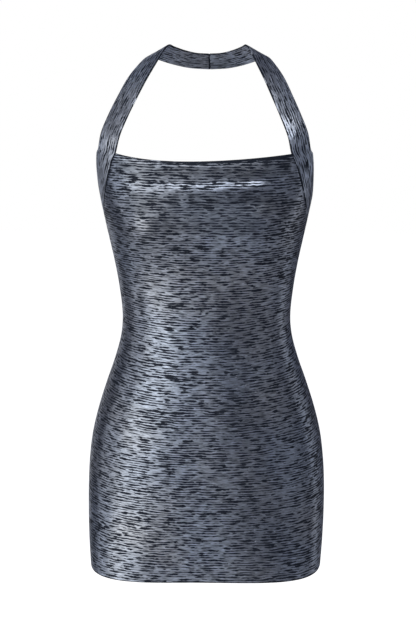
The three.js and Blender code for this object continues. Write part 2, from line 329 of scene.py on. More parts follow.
def form_point(around, z):
    """The smooth form's point at a share of the way round and a height."""
    shape = np.shape(around)
    around, z = np.ravel(around), np.ravel(z)
    share, in_front = mirror_share(around), on_front(around)
    lengths = lengths_at(z, in_front)
    wanted = np.where(in_front, share, share - SIDE) * lengths[:, -1]
    i = np.clip((lengths[:, 1:] < wanted[:, None]).sum(1), 0, RING_STEPS - 1)
    row = np.arange(len(i))
    part = (wanted - lengths[row, i]) / (lengths[row, i + 1] - lengths[row, i])
    angle = (math.pi / 2) * ((i + part) / RING_STEPS + np.where(in_front, 0, 1))
    point = ring_point(z, angle)
    point[:, 0] *= np.where(on_right(around), -1, 1)
    return point.reshape(shape + (3,))


def unit(v):
    return v / np.linalg.norm(v, axis=-1, keepdims=True)


def form_normal(around, z):
    """The direction straight out of the form."""
    step, rise = 0.004, 1.5
    along = form_point(around + step, z) - form_point(around - step, z)
    up = form_point(around, z + rise) - form_point(around, z - rise)
    return unit(np.cross(along, up))


def fold_push(around, z):
    """How far the folds push the cloth out."""
    x = form_point(around, z)[..., 0]
    front = on_front(around)
    push = np.zeros(np.shape(z))
    for face, fold_x, fold_z, half, lift, width, depth in FOLDS:
        off = (x - fold_x) / half
        line = fold_z + lift * off**2
        here = (np.abs(off) < 1) & (front == (face == "front"))
        push += np.where(here, depth * (1 - off**2) ** 2 * bell(z - line, width), 0)
    return push


def cloth_point(around, z, inside=0.0):
    """A point of the cloth, that far inside its outer face."""
    out = fold_push(around, z) - inside
    return form_point(around, z) + form_normal(around, z) * out[..., None]


def seam_height(around):
    return between(BAND_SEAM, 1, mirror_share(around))


def top_height(around):
    """The panels' top edge: the scooped neckline, and the band seam beyond its corners."""
    across = around / CORNER
    corner = seam_height(np.array(CORNER))
    scoop = corner - NECKLINE_SCOOP * (1 - across**2) * (1 - NECKLINE_LEAN * across)
    return np.where(mirror_share(around) >= CORNER, seam_height(around), scoop)


def roll(distance, radius):
    """How far a face has turned in, at a distance from a rounded edge of that radius."""
    left = np.clip(radius - distance, 0, radius)
    return radius - np.sqrt(np.maximum(radius**2 - left**2, 0))


def ease(value):
    t = np.clip(value, 0, 1)
    return t * t * (3 - 2 * t)


# Meshes


def to_frame(points):
    return (points - NAPE) * MM


def wall_mesh(name, outer, inner, uv, rub_and_painted_shade, matt, turned, materials):
    """A closed wall between two grids, with the knit's own map of lengths in metres.

    rub_and_painted_shade says where the foil is darkened: rubbed off the turned edges and seams,
    with painted shade in their grooves and the crease. matt says where the foil is rougher and
    darkened as painted shade. turned says where the inner face is a turning, which shows the foil.
    """
    rows, columns = outer.shape[:2]
    count = rows * columns
    vertices = np.concatenate([outer.reshape(-1, 3), inner.reshape(-1, 3)])
    r, c = np.meshgrid(np.arange(rows - 1), np.arange(columns - 1), indexing="ij")
    a = (r * columns + c).ravel()
    face = np.stack([a, a + 1, a + columns + 1, a + columns], 1)
    back = face[:, ::-1] + count
    rim = [(0, k) for k in range(columns)] + [(k, columns - 1) for k in range(1, rows)]
    rim += [(rows - 1, k) for k in range(columns - 2, -1, -1)]
    rim += [(k, 0) for k in range(rows - 2, 0, -1)]
    ids = np.array([i * columns + k for i, k in rim])
    after = np.roll(ids, -1)
    side = np.stack([after, ids, ids + count, after + count], 1)
    faces = np.concatenate([face, back, side])
    mesh = bpy.data.meshes.new(name)
    mesh.from_pydata(to_frame(vertices).tolist(), [], faces.tolist())
    layer = mesh.uv_layers.new(name="knit")
    both = np.concatenate([uv.reshape(-1, 2), uv.reshape(-1, 2)]) * MM
    loops = np.empty(len(mesh.loops), dtype=np.int32)
    mesh.loops.foreach_get("vertex_index", loops)
    layer.data.foreach_set("uv", both[loops].ravel())
    for label, values in (("rub_and_painted_shade", rub_and_painted_shade), ("matt", matt)):
        attribute = mesh.attributes.new(label, "FLOAT", "POINT")
        attribute.data.foreach_set("value", np.tile(values.ravel(), 2).astype(np.float32))
    for material in materials:
        mesh.materials.append(material)
    inner_faces = np.zeros(len(faces), dtype=np.int32)
    plain_inside = np.minimum(turned[1:, 1:], turned[:-1, :-1]).ravel() < 0.5
    inner_faces[len(face) : len(face) * 2] = plain_inside
    mesh.polygons.foreach_set("material_index", inner_faces)
    mesh.polygons.foreach_set("use_smooth", np.ones(len(faces), dtype=bool))
    mesh.update()
    obj = bpy.data.objects.new(name, mesh)
    bpy.context.scene.collection.objects.link(obj)
    return obj


def edge_crowded(low, high, count, nearest):
    """Shares from low to high that come closer together towards both ends."""
    t = np.linspace(0, 1, count)
    even = low + (high - low) * t
    near = NEAR_EDGE * nearest
    clear = near[-1] * NEAR_CLEAR
    middle = even[(even > low + clear) & (even < high - clear)]
    return np.concatenate([low + near, middle, (high - near)[::-1]])


def droop(around, z):
    """How far the knit's rows hang lower at the middle of a panel than at its sides."""
    share = np.where(on_front(around), mirror_share(around), CENTRE_BACK - mirror_share(around))
    return np.interp(z, DROOP[:, 0], DROOP[:, 1]) * share**2


def panel_rub_and_shade(around, from_top, from_hem, seam, sewn, crease):
    """How far a panel's foil is darkened at its neckline, hem, seams and crease: rubbed foil, with
    painted shade under the neckline's roll, in the seam grooves and in the crease.
    """
    neck, neck_width = RUB_AND_SHADE["neck"]
    hem, hem_width = RUB_AND_SHADE["hem"]
    along_seam, seam_width = RUB_AND_SHADE["seam"]
    left = ease(0.5 + 2 * around)
    at_neck = bell(from_top - NECK_RUB_AND_SHADE_AT, neck_width) * (neck + RUB_AND_SHADE["neck_to_the_left"] * left)
    # the darkest of: rubbed foil with painted shade under the neckline's roll, heavier towards the
    # dress's left; the hem's darker rim; painted shade in the seam grooves; painted shade in the
    # crease
    return np.maximum.reduce(
        [
            np.where(sewn, 0, at_neck),
            hem * bell(from_hem, hem_width),
            along_seam * bell(seam, seam_width),
            RUB_AND_SHADE["crease"] * crease,
        ]
    )


def panel_dull_and_shade(around, z, from_top, sewn):
    """Where a panel's foil is rougher and darkened as painted shade: the neckline strip and a zone
    between the cups.
    """
    strip = ease((STRIP - from_top) / SHADED_DULL_STRIP["low_fade"])
    strip = strip * ease((from_top - SHADED_DULL_STRIP["top"]) / SHADED_DULL_STRIP["top_fade"])
    across = np.abs(form_point(around, z)[..., 0])
    wider = ease((z - SHADE_BETWEEN_CUPS["wider_from"]) / SHADE_BETWEEN_CUPS["wider_over"])
    reach = SHADE_BETWEEN_CUPS["across"] + SHADE_BETWEEN_CUPS["wider"] * wider
    low = ease((z - SHADE_BETWEEN_CUPS["low"]) / SHADE_BETWEEN_CUPS["low_fade"])
    high = ease((SHADE_BETWEEN_CUPS["high"] - z) / SHADE_BETWEEN_CUPS["high_fade"])
    shade_between_cups = low * high * ease((reach - across) / SHADE_BETWEEN_CUPS["side_fade"])
    return np.maximum(np.where(sewn, 0, strip), shade_between_cups * on_front(around))


def panel(name, columns, materials):
    """A panel of knit from the hem to its top edge, with turned edges and rolled seams."""
    rows = edge_crowded(0.0, 1.0, PANEL_ROWS, PANEL_FIRST_STEP / PANEL_HEIGHT)
    share = rows + PANEL_TOP_CROWDING * rows * (1 - rows)
    around = np.broadcast_to(columns, (len(rows), len(columns)))
    hem = between(HEM_LINE, 1, around)
    top = top_height(around)
    z = hem + (top - hem) * share[:, None]
    quarter = quarter_of(around, z)
    first, last = columns[0], columns[-1]
    inset = SEWN_TIGHT / quarter
    placed = around + np.where(around == first, inset, 0) - np.where(around == last, inset, 0)
    # how far each point lies from the hem, the top edge and the side seams
    rise = np.gradient(top, axis=1) / np.maximum(np.gradient(around, axis=1) * quarter, 1e-6)
    from_top = (top - z) / np.sqrt(1 + rise**2)
    from_hem = z - hem
    from_side = np.minimum(around - first, last - around) * quarter
    sewn = mirror_share(around) >= CORNER
    turned = np.where(sewn, 0, ease((NECK_TURNING - from_top) / TURNING_FADE))
    turned = np.maximum(turned, ease((HEM_TURNING - from_hem) / TURNING_FADE))
    thick = KNIT + (TURNED_EDGE - KNIT) * turned
    seam = np.minimum(from_side, np.where(sewn, from_top, NO_SEAM))
    at_seam = bell(seam, SEAM["reach"])
    seam_roll = roll(seam, SEAM["rounding"])
    # the crease along the lower edge of the neckline strip, and the small ridge above it
    middle = np.where(sewn, 0, ease((CORNER - mirror_share(around)) / CREASE["fade"]))
    crease = bell(from_top - STRIP, CREASE["width"]) * middle
    ridge = RIDGE["high"] * bell(from_top - NECK_TURNING, RIDGE["width"]) * middle
    dip = SEAM["sink"] * at_seam + seam_roll + CREASE["deep"] * crease - ridge
    lip = roll(np.where(sewn, from_hem, np.minimum(from_top, from_hem)), EDGE_ROUNDING)
    outer = cloth_point(placed, z, dip + lip)
    inner = cloth_point(placed, z, thick + SEAM["swell"] * at_seam - lip - seam_roll)
    u = (mirror_share(around) * np.where(on_right(around), -1, 1)) * quarter
    u = np.where(on_front(around), u, (around - CENTRE_BACK) * quarter + BACK_MAP)
    uv = np.stack([u, z - droop(around, z)], -1)
    rub_and_painted_shade = panel_rub_and_shade(around, from_top, from_hem, seam, sewn, crease)
    matt = panel_dull_and_shade(around, z, from_top, sewn)
    return wall_mesh(name, outer, inner, uv, rub_and_painted_shade, matt, turned, materials)


def sewn_section(around):
    """The band where it is sewn on: its seam edge, middle and free edge."""
    around = np.array(around)
    z = seam_height(around)
    step = 0.01

    def seam_point(share):
        return form_point(share, seam_height(share))

    strap_end = np.array(STRAP[-1][:3], dtype=float)
    before = strap_end if around < CORNER + 2 * step else seam_point(around - step)
    run = seam_point(around + step) - before
    normal = form_normal(around, z)
    across = unit(np.cross(normal, run))
    quarter = quarter_of(around, z)
    sideways = unit(form_point(around + step, z) - form_point(around - step, z))
    slant = float(across @ sideways)

    stand = STAND_OFF["far"] * bell(around - CORNER, STAND_OFF["reach"])

    def place(reach):
        share = np.minimum(around + reach * slant / quarter, CENTRE_BACK)
        off = stand * (max(0.0, reach) / BAND_WIDTH) ** STAND_OFF["curve"]
        return cloth_point(share, z + reach * math.sqrt(max(0.0, 1 - slant**2)), -off)

    return np.array([place(-SEAM_LAP), place(BAND_WIDTH / 2), place(BAND_WIDTH)])


def strap_sections():
    """The band where it hangs free as a strap, from the nape down."""
    edge = np.array([row[:3] for row in STRAP], dtype=float)
    line = np.vstack([edge, sewn_section(CORNER)[0]])
    sections = []
    for i, (_, _, _, turn, rise) in enumerate(STRAP):
        before = line[1] * (-1, 1, 1) if i == 0 else line[i - 1]
        run = unit(line[i + 1] - before)
        turn, rise = math.radians(turn), math.radians(rise)
        faces = np.array(
            [
                math.sin(turn) * math.cos(rise),
                -math.cos(turn) * math.cos(rise),
                math.sin(rise),
            ]
        )
        normal = unit(faces - run * (faces @ run))
        free = line[i] + unit(np.cross(normal, run)) * BAND_WIDTH
        sections.append([line[i], (line[i] + free) / 2 + normal * BAND_CROWN, free])
    return np.array(sections)


def curve_through(points, steps):
    """Points on a smooth curve through the given ones, with that many steps for each stretch."""
    padded = np.vstack([2 * points[0] - points[1], points, 2 * points[-1] - points[-2]])
    out = []
    for i, count in enumerate(steps):
        p0, p1, p2, p3 = padded[i : i + 4]
        d0, d1, d2 = (math.sqrt(np.linalg.norm(b - a)) for a, b in ((p0, p1), (p1, p2), (p2, p3)))
        leave = ((p1 - p0) / d0 - (p2 - p0) / (d0 + d1) + (p2 - p1) / d1) * d1
        arrive = ((p2 - p1) / d1 - (p3 - p1) / (d1 + d2) + (p3 - p2) / d2) * d1
        for t in np.arange(count) / count:
            out.append(
                p1 * (2 * t**3 - 3 * t**2 + 1)
                + p2 * (3 * t**2 - 2 * t**3)
                + leave * (t**3 - 2 * t**2 + t)
                + arrive * (t**3 - t**2)
            )
    out.append(points[-1])
    return np.array(out)


def band_ripples(length, share):
    """The band's few soft ripples beside the neckline's corner and round the armhole."""
    ripple = np.zeros((len(length), len(share)))
    for at, reach, depth, lean in BAND_RIPPLES:
        here = length[:, None] - at - lean * (share[None, :] - 0.5) * BAND_WIDTH
        ripple += depth * bell(here, reach) * np.sin(math.pi * share)[None, :]
    return ripple


def halter_band(name, side, materials):
    """One side of the folded band, from the nape seam to the centre back seam."""
    behind = SIDE + np.arange(1, BACK_STATIONS + 1) / BACK_STATIONS
    sewn = np.array([sewn_section(s) for s in [*FRONT_STATIONS, *behind]])
    free = strap_sections()
    sections = np.concatenate([free, sewn])
    steps = [STRAP_STEPS] * len(free) + [FRONT_STEPS] * (len(FRONT_STATIONS) - 1)
    steps += [BACK_STEPS] * BACK_STATIONS
    edge, middle, far = (curve_through(sections[:, k], steps) for k in range(3))
    # each section is a parabola through its two edges and its middle
    share = edge_crowded(0.0, 1.0, BAND_COLUMNS, BAND_FIRST_STEP / BAND_WIDTH)[::-1]
    outer = (
        edge[:, None] * ((1 - share) * (1 - 2 * share))[None, :, None]
        + middle[:, None] * (4 * share * (1 - share))[None, :, None]
        + far[:, None] * (share * (2 * share - 1))[None, :, None]
    )
    outer[0, :, 0] = SEWN_TIGHT
    outer[-1, :, 0] = SEWN_TIGHT
    along = np.gradient(outer, axis=0)
    along[0], along[-1] = (1, 0, 0), (-1, 0, 0)
    across = np.gradient(outer, axis=1)
    inward = unit(np.cross(along, across))
    length = np.concatenate([[0], np.cumsum(np.linalg.norm(np.diff(middle, axis=0), axis=1))])
    from_edge = np.minimum(share, 1 - share) * BAND_WIDTH
    from_end = np.minimum(length, length[-1] - length)
    turn_in = roll(from_edge, BAND_ROUNDING)[None, :] + roll(from_end, BAND_END_ROUNDING)[:, None]
    turn_in = np.minimum(turn_in, BAND_MOST_ROUNDING)
    ripple = band_ripples(length, share)
    inner = outer + inward * (BAND_CLOTH - turn_in - ripple)[..., None]
    outer = outer + inward * (turn_in - ripple)[..., None]
    uv = np.stack(
        [
            np.broadcast_to(length[:, None] + BAND_MAP * (2 + side), outer.shape[:2]),
            np.broadcast_to(share[None, :] * BAND_WIDTH + BAND_MAP_ROW, outer.shape[:2]),
        ],
        -1,
    )
    # the band's edges and ends are darkened: rubbed foil with painted shade along its seams and fold
    edge_rub_and_shade, edge_width = RUB_AND_SHADE["band_edge"]
    end_rub_and_shade, end_width = RUB_AND_SHADE["band_end"]
    rub_and_painted_shade = edge_rub_and_shade * bell(from_edge, edge_width)[None, :]
    rub_and_painted_shade = rub_and_painted_shade + end_rub_and_shade * bell(from_end, end_width)[:, None]
    if side < 0:
        rub_and_painted_shade = rub_and_painted_shade[:, ::-1]
        outer, inner = outer[:, ::-1] * (-1, 1, 1), inner[:, ::-1] * (-1, 1, 1)
        uv = uv[:, ::-1]
    return wall_mesh(name, outer, inner, uv, rub_and_painted_shade, 0 * rub_and_painted_shade, 0 * rub_and_painted_shade, materials)


# Materials

KNIT_COLOUR = (0.018, 0.0245, 0.041)
FOIL_COLOUR = (0.41, 0.468, 0.578)
FOIL_WARM = (0.43, 0.462, 0.53)
INSIDE_COLOUR = (0.13, 0.14, 0.178)
THREAD_COLOUR = (0.11, 0.12, 0.15)
FOIL = {
    "metal": 0.95,
    "rough": 0.33,
    "dull": 0.58,
    "bright": 1.52,
    "dash_metal": 0.3,
    "dash_rough": 0.55,
    # how many more dashes the rubbed foil and the painted shade of grooves and creases bring
    "rub_and_shade_cover": 0.4,
    "matt_rough": 0.08,
    # painted shade: how much darker the matt zones are
    "painted_shade_dark": 0.38,
    "streak_rough": 0.16,
    "streak_height": 0.5,
    "bump": 0.6,
    "bump_height": 0.0006,
    "brushed": 0.55,
    "cloud_scale": 9.0,
    "specular": 0.3,
}
# Noise over the knit's map: how many waves to a metre along the rows and up them
WANDER = {"along": 24.0, "up": 70.0, "height": 0.0046}
PATCHES = {"along": 13.0, "up": 40.0, "depth": 0.12}
STREAKS = {"along": 75.0, "up": 620.0}
# How much a dash keeps to one row, how each row is shifted, and how dark a row's middle is
ROWS = {"strict": 0.55, "shift": 0.37, "apart": 5.17, "pull": 0.095}
JERSEY = {
    "rib": 0.0016,
    "row": 0.0022,
    "cloud_scale": 90.0,
    "dark": 0.7,
    "light": 1.4,
    "rough": 0.85,
    "sheen": 0.25,
    "bump": 0.35,
    "bump_height": 0.0004,
}


def socket_in(group, name, kind, default=None):
    socket = group.interface.new_socket(name=name, in_out="INPUT", socket_type=kind)
    if default is not None:
        socket.default_value = default
    return socket


def socket_out(group, name, kind):
    return group.interface.new_socket(name=name, in_out="OUTPUT", socket_type=kind)


class Nodes:
    """Short calls for building a node tree."""

    def __init__(self, tree):
        self.tree = tree

    def add(self, kind, inputs=None, **settings):
        node = self.tree.nodes.new(kind)
        for key, value in settings.items():
            setattr(node, key, value)
        for key, value in (inputs or {}).items():
            target = node.inputs[key]
            if isinstance(value, bpy.types.NodeSocket):
                self.tree.links.new(value, target)
            else:
                target.default_value = value
        return node

    def math(self, operation, a, b=0.0, c=0.0):
        return self.add("ShaderNodeMath", {0: a, 1: b, 2: c}, operation=operation).outputs[0]

    def link(self, source, target):
        self.tree.links.new(source, target)


def dash_group():
    """The knit's broken dark dashes, as a mask: 1 in a dash, 0 on the foil."""
    group = bpy.data.node_groups.new("broken_dashes", "ShaderNodeTree")
    socket_in(group, "Map", "NodeSocketVector")
    socket_in(group, "Dash length", "NodeSocketFloat", 0.015)
    socket_in(group, "Dash height", "NodeSocketFloat", 0.0020)
    socket_in(group, "Row spacing", "NodeSocketFloat", 0.0034)
    socket_in(group, "Cover", "NodeSocketFloat", 0.46)
    socket_in(group, "Edge softness", "NodeSocketFloat", 0.021)
    socket_out(group, "Dashes", "NodeSocketFloat")
    socket_out(group, "Streaks", "NodeSocketFloat")
    n = Nodes(group)
    given = n.add("NodeGroupInput").outputs
    result = n.add("NodeGroupOutput")
    apart = n.add("ShaderNodeSeparateXYZ", {0: given["Map"]})
    u, v = apart.outputs[0], apart.outputs[1]

    def noise(across, up, detail, roughness=0.5):
        place = n.add("ShaderNodeCombineXYZ", {0: across, 1: up})
        texture = n.add(
            "ShaderNodeTexNoise",
            {"Vector": place.outputs[0], "Scale": 1.0, "Detail": detail, "Roughness": roughness},
            noise_dimensions="2D",
        )
        return texture.outputs["Fac"]

    # rows wander up and down a little
    along, up = n.math("MULTIPLY", u, WANDER["along"]), n.math("MULTIPLY", v, WANDER["up"])
    wander = n.math("SUBTRACT", noise(along, up, detail=4.0, roughness=0.6), 0.5)
    wavy = n.math("MULTIPLY_ADD", wander, WANDER["height"], v)
    long_way = n.math("DIVIDE", u, given["Dash length"])
    loose = noise(long_way, n.math("DIVIDE", wavy, given["Dash height"]), detail=2.2)
    # some dashes keep strictly to one row of the knit, others stray across it
    row = n.math("DIVIDE", wavy, given["Row spacing"])
    whole = n.math("FLOOR", row)
    shifted = n.math("MULTIPLY_ADD", whole, ROWS["shift"], long_way)
    strict = noise(shifted, n.math("MULTIPLY", whole, ROWS["apart"]), detail=2.0)
    marks = n.math("MULTIPLY_ADD", n.math("SUBTRACT", strict, loose), ROWS["strict"], loose)
    wave = n.math("COSINE", n.math("MULTIPLY", row, 2 * math.pi))
    rows = n.math("MULTIPLY", wave, ROWS["pull"])
    # patches where the dashes crowd or thin out
    along, up = n.math("MULTIPLY", u, PATCHES["along"]), n.math("MULTIPLY", v, PATCHES["up"])
    patches = noise(along, up, detail=1.0)
    crowd = n.math("MULTIPLY", n.math("SUBTRACT", patches, 0.5), PATCHES["depth"])
    level = n.math("ADD", n.math("ADD", marks, rows), crowd)
    mask = n.add(
        "ShaderNodeMapRange",
        {
            "Value": level,
            "From Min": n.math("SUBTRACT", given["Cover"], given["Edge softness"]),
            "From Max": n.math("ADD", given["Cover"], given["Edge softness"]),
            "To Min": 1.0,
            "To Max": 0.0,
        },
        interpolation_type="SMOOTHSTEP",
    )
    n.link(mask.outputs[0], result.inputs["Dashes"])
    # fine brushed streaks in the foil itself
    along, up = n.math("MULTIPLY", u, STREAKS["along"]), n.math("MULTIPLY", wavy, STREAKS["up"])
    fine = noise(along, up, detail=2.0, roughness=0.6)
    n.link(fine, result.inputs["Streaks"])
    return group


def foil_knit(name, dashes, cover, seed, painted_brightness=1.0, upright=False):
    """Steel-blue foil on dark knit, brushed along its rows, which run up an upright piece."""
    material = bpy.data.materials.new(name)
    material.use_nodes = True
    n = Nodes(material.node_tree)
    shader = material.node_tree.nodes["Principled BSDF"]
    knit_map = n.add("ShaderNodeUVMap", uv_map="knit")
    start = (seed, seed * 0.37, 0.0)
    placed = n.add("ShaderNodeMapping", {"Vector": knit_map.outputs[0], "Location": start})
    pattern = n.add("ShaderNodeGroup")
    pattern.node_tree = dashes
    n.link(placed.outputs[0], pattern.inputs["Map"])
    # rub_and_painted_shade adds dashes where the foil is rubbed and where painted shade darkens
    # grooves and creases
    rub_and_painted_shade = n.add("ShaderNodeAttribute", attribute_name="rub_and_painted_shade").outputs["Fac"]
    matt = n.add("ShaderNodeAttribute", attribute_name="matt").outputs["Fac"]
    n.link(n.math("MULTIPLY_ADD", rub_and_painted_shade, FOIL["rub_and_shade_cover"], cover), pattern.inputs["Cover"])
    mask, streaks = pattern.outputs["Dashes"], pattern.outputs["Streaks"]
    tone = n.add("ShaderNodeMapRange", {"Value": streaks, "From Min": 0.3, "From Max": 0.7})
    tone.inputs["To Min"].default_value = FOIL["dull"]
    tone.inputs["To Max"].default_value = FOIL["bright"]
    # painted shade: the matt attribute darkens the foil's tone over the neckline strip and between
    # the cups
    painted_brightness = n.math("MULTIPLY_ADD", matt, -FOIL["painted_shade_dark"], painted_brightness)
    # painted light: painted_brightness lifts the whole tone, a quarter brighter on the band
    tone = n.math("MULTIPLY", tone.outputs[0], painted_brightness)
    cloud = n.add(
        "ShaderNodeTexNoise",
        {"Vector": placed.outputs[0], "Scale": FOIL["cloud_scale"], "Detail": 2.0},
    )
    tint = n.add("ShaderNodeMix", {6: FOIL_COLOUR + (1,), 7: FOIL_WARM + (1,)}, data_type="RGBA")
    mild = n.add(
        "ShaderNodeMapRange", {"Value": cloud.outputs["Fac"], "From Min": 0.4, "From Max": 0.65}
    )
    n.link(mild.outputs[0], tint.inputs["Factor"])
    foil = n.add(
        "ShaderNodeMix", {6: tint.outputs[2], 7: tone}, data_type="RGBA", blend_type="MULTIPLY"
    )
    foil.inputs["Factor"].default_value = 1.0
    colour = n.add("ShaderNodeMix", {6: foil.outputs[2], 7: KNIT_COLOUR + (1,)}, data_type="RGBA")
    n.link(mask, colour.inputs["Factor"])
    n.link(colour.outputs[2], shader.inputs["Base Color"])
    metal = n.math("MULTIPLY_ADD", mask, FOIL["dash_metal"] - FOIL["metal"], FOIL["metal"])
    n.link(metal, shader.inputs["Metallic"])
    rough = n.math("MULTIPLY_ADD", mask, FOIL["dash_rough"] - FOIL["rough"], FOIL["rough"])
    uneven = n.math("MULTIPLY", n.math("SUBTRACT", streaks, 0.5), FOIL["streak_rough"])
    rough = n.math("ADD", rough, uneven)
    rough = n.math("MULTIPLY_ADD", matt, FOIL["matt_rough"], rough)
    n.link(rough, shader.inputs["Roughness"])
    height = n.math("SUBTRACT", n.math("MULTIPLY", streaks, FOIL["streak_height"]), mask)
    bump = n.add("ShaderNodeBump", {"Height": height, "Strength": FOIL["bump"]})
    bump.inputs["Distance"].default_value = FOIL["bump_height"]
    n.link(bump.outputs[0], shader.inputs["Normal"])
    shader.inputs["Specular IOR Level"].default_value = FOIL["specular"]
    shader.inputs["Anisotropic"].default_value = FOIL["brushed"]
    shader.inputs["Anisotropic Rotation"].default_value = 0.0 if upright else 0.25
    return material


def plain_knit(name, colour):
    """Dark matt jersey with fine ribs, for the knit's inner face and the thread."""
    material = bpy.data.materials.new(name)
    material.use_nodes = True
    n = Nodes(material.node_tree)
    shader = material.node_tree.nodes["Principled BSDF"]
    knit_map = n.add("ShaderNodeUVMap", uv_map="knit")
    apart = n.add("ShaderNodeSeparateXYZ", {0: knit_map.outputs[0]})
    columns = n.math("SINE", n.math("MULTIPLY", apart.outputs[0], 2 * math.pi / JERSEY["rib"]))
    rows = n.math("SINE", n.math("MULTIPLY", apart.outputs[1], 2 * math.pi / JERSEY["row"]))
    loops = n.math("MULTIPLY", columns, rows)
    cloudy = n.add(
        "ShaderNodeTexNoise",
        {"Vector": knit_map.outputs[0], "Scale": JERSEY["cloud_scale"], "Detail": 3.0},
    )
    mix = n.add("ShaderNodeMix", data_type="RGBA")
    n.link(cloudy.outputs["Fac"], mix.inputs["Factor"])
    mix.inputs[6].default_value = tuple(c * JERSEY["dark"] for c in colour) + (1,)
    mix.inputs[7].default_value = tuple(c * JERSEY["light"] for c in colour) + (1,)
    n.link(mix.outputs[2], shader.inputs["Base Color"])
    shader.inputs["Roughness"].default_value = JERSEY["rough"]
    shader.inputs["Sheen Weight"].default_value = JERSEY["sheen"]
    bump = n.add("ShaderNodeBump", {"Height": loops, "Strength": JERSEY["bump"]})
    bump.inputs["Distance"].default_value = JERSEY["bump_height"]
    n.link(bump.outputs[0], shader.inputs["Normal"])
    return material


# Sewing

# The overlocked turning of a side seam: how far behind the seam it lies, from which height to
# which, and how far inside the outer face. just_behind is a share that is on the back panel.
TURNING = {"behind": 5.5, "just_behind": 1.02, "low": 2.0, "high": 466.0, "inside": 1.6}
PATH_STEP = 2.0
STITCH_SIDES = 6
STITCH_LEAN = 0.22
STITCH_SINK = -0.00055


def seam_path(name, around, low, high, inside):
    """A line of points inside a seam, each with the way the cloth faces there."""
    z = np.arange(low, high, PATH_STEP)
    share = around(z)
    points = to_frame(cloth_point(share, z, inside + 0 * z))
    mesh = bpy.data.meshes.new(name)
    mesh.from_pydata(points.tolist(), [(i, i + 1) for i in range(len(points) - 1)], [])
    facing = mesh.attributes.new("facing", "FLOAT_VECTOR", "POINT")
    facing.data.foreach_set("vector", form_normal(share, z).ravel())
    obj = bpy.data.objects.new(name, mesh)
    bpy.context.scene.collection.objects.link(obj)
    return obj


def overlock_tree(cloth, thread):
    """A narrow overlocked seam turning: a flat strip with thread loops over its edge."""
    tree = bpy.data.node_groups.new("overlocked_turning", "GeometryNodeTree")
    socket_in(tree, "Path", "NodeSocketGeometry")
    for label, value in (
        ("Turning width", 0.006),
        ("Turning thickness", 0.0009),
        ("Stitch spacing", 0.0026),
        ("Stitch length", 0.0068),
        ("Thread radius", 0.00028),
    ):
        socket_in(tree, label, "NodeSocketFloat", value)
    socket_out(tree, "Turning", "NodeSocketGeometry")
    n = Nodes(tree)
    given = n.add("NodeGroupInput").outputs
    result = n.add("NodeGroupOutput")
    facing = n.add("GeometryNodeInputNamedAttribute", {"Name": "facing"}, data_type="FLOAT_VECTOR")
    curve = n.add("GeometryNodeMeshToCurve", {"Mesh": given["Path"]})
    turned = n.add("GeometryNodeSetCurveNormal", {"Curve": curve.outputs[0]}, mode="FREE")
    n.link(facing.outputs["Attribute"], turned.inputs["Normal"])
    profile = n.add(
        "GeometryNodeCurvePrimitiveQuadrilateral",
        {"Width": given["Turning thickness"], "Height": given["Turning width"]},
    )
    strip = n.add(
        "GeometryNodeCurveToMesh",
        {"Curve": turned.outputs[0], "Profile Curve": profile.outputs[0], "Fill Caps": True},
    )
    strip_cloth = n.add(
        "GeometryNodeSetMaterial", {"Geometry": strip.outputs[0], "Material": cloth}
    )
    spaced = n.add(
        "GeometryNodeCurveToPoints",
        {"Curve": turned.outputs[0], "Length": given["Stitch spacing"]},
        mode="LENGTH",
    )
    rod = n.add(
        "GeometryNodeMeshCylinder",
        {"Vertices": STITCH_SIDES, "Radius": given["Thread radius"], "Depth": given["Stitch length"]},
        fill_type="TRIANGLE_FAN",
    )
    sideways = n.add("ShaderNodeVectorMath", operation="CROSS_PRODUCT")
    n.link(spaced.outputs["Normal"], sideways.inputs[0])
    n.link(spaced.outputs["Tangent"], sideways.inputs[1])
    lean = n.add("ShaderNodeVectorMath", operation="MULTIPLY_ADD")
    n.link(spaced.outputs["Tangent"], lean.inputs[0])
    lean.inputs[1].default_value = (STITCH_LEAN,) * 3
    n.link(sideways.outputs[0], lean.inputs[2])
    aim = n.add("FunctionNodeAlignRotationToVector", {"Vector": lean.outputs[0]}, axis="Z")
    stitches = n.add(
        "GeometryNodeInstanceOnPoints",
        {
            "Points": spaced.outputs["Points"],
            "Instance": rod.outputs[0],
            "Rotation": aim.outputs[0],
        },
    )
    lifted = n.add("ShaderNodeVectorMath", operation="SCALE")
    n.link(spaced.outputs["Normal"], lifted.inputs[0])
    lifted.inputs["Scale"].default_value = STITCH_SINK
    moved = n.add(
        "GeometryNodeSetPosition",
        {"Geometry": stitches.outputs[0], "Offset": lifted.outputs[0]},
    )
    real = n.add("GeometryNodeRealizeInstances", {"Geometry": moved.outputs[0]})
    stitch_thread = n.add(
        "GeometryNodeSetMaterial", {"Geometry": real.outputs[0], "Material": thread}
    )
    joined = n.add("GeometryNodeJoinGeometry")
    n.link(strip_cloth.outputs[0], joined.inputs[0])
    n.link(stitch_thread.outputs[0], joined.inputs[0])
    n.link(joined.outputs[0], result.inputs[0])
    return tree


def overlocked(path, tree, name):
    """The tree's result as a plain mesh in a fresh object."""
    modifier = path.modifiers.new("overlock", "NODES")
    modifier.node_group = tree
    bpy.context.view_layer.update()
    evaluated = path.evaluated_get(bpy.context.evaluated_depsgraph_get())
    mesh = bpy.data.meshes.new_from_object(evaluated)
    mesh.name = name
    bpy.data.objects.remove(path)
    obj = bpy.data.objects.new(name, mesh)
    bpy.context.scene.collection.objects.link(obj)
    return obj


# The dress

dashes = dash_group()
front_foil = foil_knit("front_foil_knit", dashes, cover=0.47, seed=0.31)
back_foil = foil_knit("back_foil_knit", dashes, cover=0.47, seed=0.77)
# the band's foil is the same knit, painted a quarter brighter as painted light
band_foil = foil_knit("band_foil_knit", dashes, cover=0.44, seed=1.13, painted_brightness=1.25, upright=True)
inside_knit = plain_knit("inside_knit", INSIDE_COLOUR)

